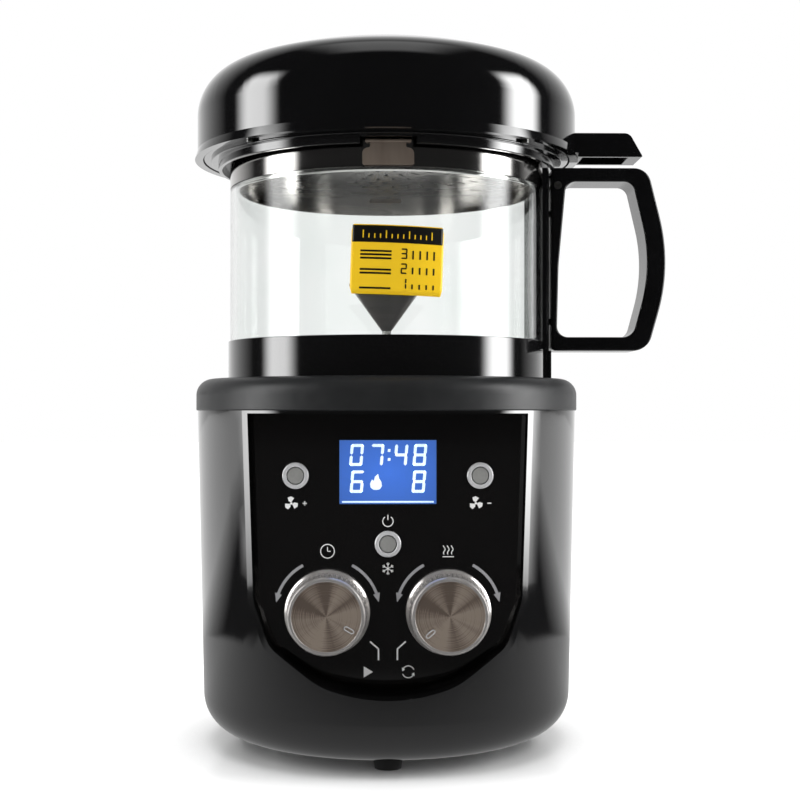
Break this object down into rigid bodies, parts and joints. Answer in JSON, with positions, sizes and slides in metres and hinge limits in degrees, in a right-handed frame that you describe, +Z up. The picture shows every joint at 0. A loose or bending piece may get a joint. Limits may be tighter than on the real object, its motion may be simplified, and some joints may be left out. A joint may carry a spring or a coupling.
{
  "type": "home coffee bean roaster",
  "caption": "Countertop hot-air bean roaster: round base with panel, knobs and blower, lift-off glass chamber with D-handle, chaff filter and domed lift-off lid.",
  "frame": {"origin": "on the body's axis, at the level the feet stand on", "axes": "+Z up along the body's axis; the control panel faces -Y; the handle points to +X"},
  "size_m": [0.2168, 0.179, 0.3188],
  "materials": {
    "gloss_black": "glossy moulded",
    "panel_black": "high gloss",
    "matte_black": "moulded",
    "handle_black": "semi-gloss heat-proof plastic",
    "lid_under_black": "glossy",
    "ring_grey": "fine matt",
    "foot_rubber": "matt",
    "silicone_seal": "matt silicone",
    "clear_glass": "clear borosilicate",
    "display_glass": "clear window",
    "display_blue": "backlit blue",
    "board_green": "solder mask",
    "brass_post": "turned",
    "zinc_steel": "zinc plated",
    "plain_steel": "pressed sheet",
    "brushed_stainless": "brushed",
    "polished_stainless": "polished",
    "spring_steel": "satin",
    "bright_chrome": "plated",
    "knob_chrome": "plated, grooved",
    "knob_face_metal": "radially brushed",
    "button_grey": "glossy",
    "heater_sheath": "heat-tinted",
    "mica_sheet": "mica",
    "cutout_ceramic": "ceramic and tin",
    "fan_metal": "pressed"
  },
  "bodies": {
    "base": {"base_housing": "gloss_black", "bottom_cover": "matte_black", "base_screws": "zinc_steel", "rubber_feet": "foot_rubber", "control_panel": "panel_black", "lcd_window": "display_glass", "lcd_module": "display_blue", "display_board": "board_green", "board_posts": "brass_post", "button_bezels": "bright_chrome", "button_switches": "matte_black", "encoder_bodies": "zinc_steel", "shoulder_ring": "ring_grey", "top_deck": "plain_steel", "chamber_socket": "plain_steel", "seat_gasket": "silicone_seal", "motor_body": "plain_steel", "motor_bearing": "brass_post", "motor_bracket": "plain_steel", "blower_pillars": "zinc_steel", "blower_housing": "matte_black", "heater_duct": "plain_steel", "heater_element": "heater_sheath", "heater_frame": "mica_sheet", "thermal_cutouts": "cutout_ceramic", "power_board": "board_green", "cord_gland": "foot_rubber"},
    "fan": {"fan_impeller": "fan_metal", "motor_shaft": "zinc_steel"},
    "fan_up": {"fan_up_button": "button_grey"},
    "fan_down": {"fan_down_button": "button_grey"},
    "power": {"power_button": "button_grey"},
    "time_hub": {"time_rotor": "matte_black"},
    "time_dial": {"time_knob": "knob_chrome", "time_knob_face": "knob_face_metal", "time_shaft": "zinc_steel"},
    "heat_hub": {"heat_rotor": "matte_black"},
    "heat_dial": {"heat_knob": "knob_chrome", "heat_knob_face": "knob_face_metal", "heat_shaft": "zinc_steel"},
    "carafe": {"lower_band": "gloss_black", "glass_gasket": "silicone_seal", "glass_chamber": "clear_glass", "air_plate": "brushed_stainless", "deflector_cone": "brushed_stainless", "deflector_cap": "brushed_stainless", "deflector_bolt": "zinc_steel", "frame_bar": "gloss_black", "handle": "handle_black", "handle_screws": "zinc_steel"},
    "filter": {"filter_sleeve": "polished_stainless", "filter_plate": "brushed_stainless", "chaff_cup": "brushed_stainless", "chaff_screen": "brushed_stainless"},
    "lid": {"lid_dome": "gloss_black", "lid_deck": "lid_under_black", "lid_tab": "handle_black", "lid_screws": "zinc_steel"},
    "clip_front": {"front_clip": "spring_steel"},
    "clip_rear": {"rear_clip": "spring_steel"}
  },
  "joints": [
    {"name": "fan_up_press", "type": "slide", "parent": "base", "child": "fan_up", "axis": [0, 1, 0], "range_m": [0, 0.0008], "stiffness_N_per_m": 600},
    {"name": "fan_down_press", "type": "slide", "parent": "base", "child": "fan_down", "axis": [0, 1, 0], "range_m": [0, 0.0008], "stiffness_N_per_m": 600},
    {"name": "power_press", "type": "slide", "parent": "base", "child": "power", "axis": [0, 1, 0], "range_m": [0, 0.0008], "stiffness_N_per_m": 600},
    {"name": "time_turn", "type": "hinge", "parent": "base", "child": "time_hub", "pos_m": [-0.0255, -0.062, 0.0662], "axis": [0, -1, 0], "continuous": true},
    {"name": "time_press", "type": "slide", "parent": "time_hub", "child": "time_dial", "axis": [0, 1, 0], "range_m": [0, 0.0007], "stiffness_N_per_m": 1200},
    {"name": "heat_turn", "type": "hinge", "parent": "base", "child": "heat_hub", "pos_m": [0.0255, -0.062, 0.0662], "axis": [0, -1, 0], "continuous": true},
    {"name": "heat_press", "type": "slide", "parent": "heat_hub", "child": "heat_dial", "axis": [0, 1, 0], "range_m": [0, 0.0007], "stiffness_N_per_m": 1200},
    {"name": "fan_spin", "type": "hinge", "parent": "base", "child": "fan", "pos_m": [0, 0, 0.07], "axis": [0, 0, 1], "continuous": true},
    {"name": "chamber_lift", "type": "slide", "parent": "base", "child": "carafe", "axis": [0, 0, 1], "range_m": [0, 0.12]},
    {"name": "filter_lift", "type": "slide", "parent": "carafe", "child": "filter", "axis": [0, 0, 1], "range_m": [0, 0.06]},
    {"name": "lid_lift", "type": "slide", "parent": "filter", "child": "lid", "axis": [0, 0, 1], "range_m": [0, 0.09]},
    {"name": "front_clip_spring", "type": "hinge", "parent": "lid", "child": "clip_front", "pos_m": [0, -0.0731, 0.2629], "axis": [-1, 0, 0], "range_deg": [0, 8], "stiffness_Nm_per_rad": 0.08},
    {"name": "rear_clip_spring", "type": "hinge", "parent": "lid", "child": "clip_rear", "pos_m": [0, 0.0731, 0.2629], "axis": [1, 0, 0], "range_deg": [0, 8], "stiffness_Nm_per_rad": 0.08}
  ]
}
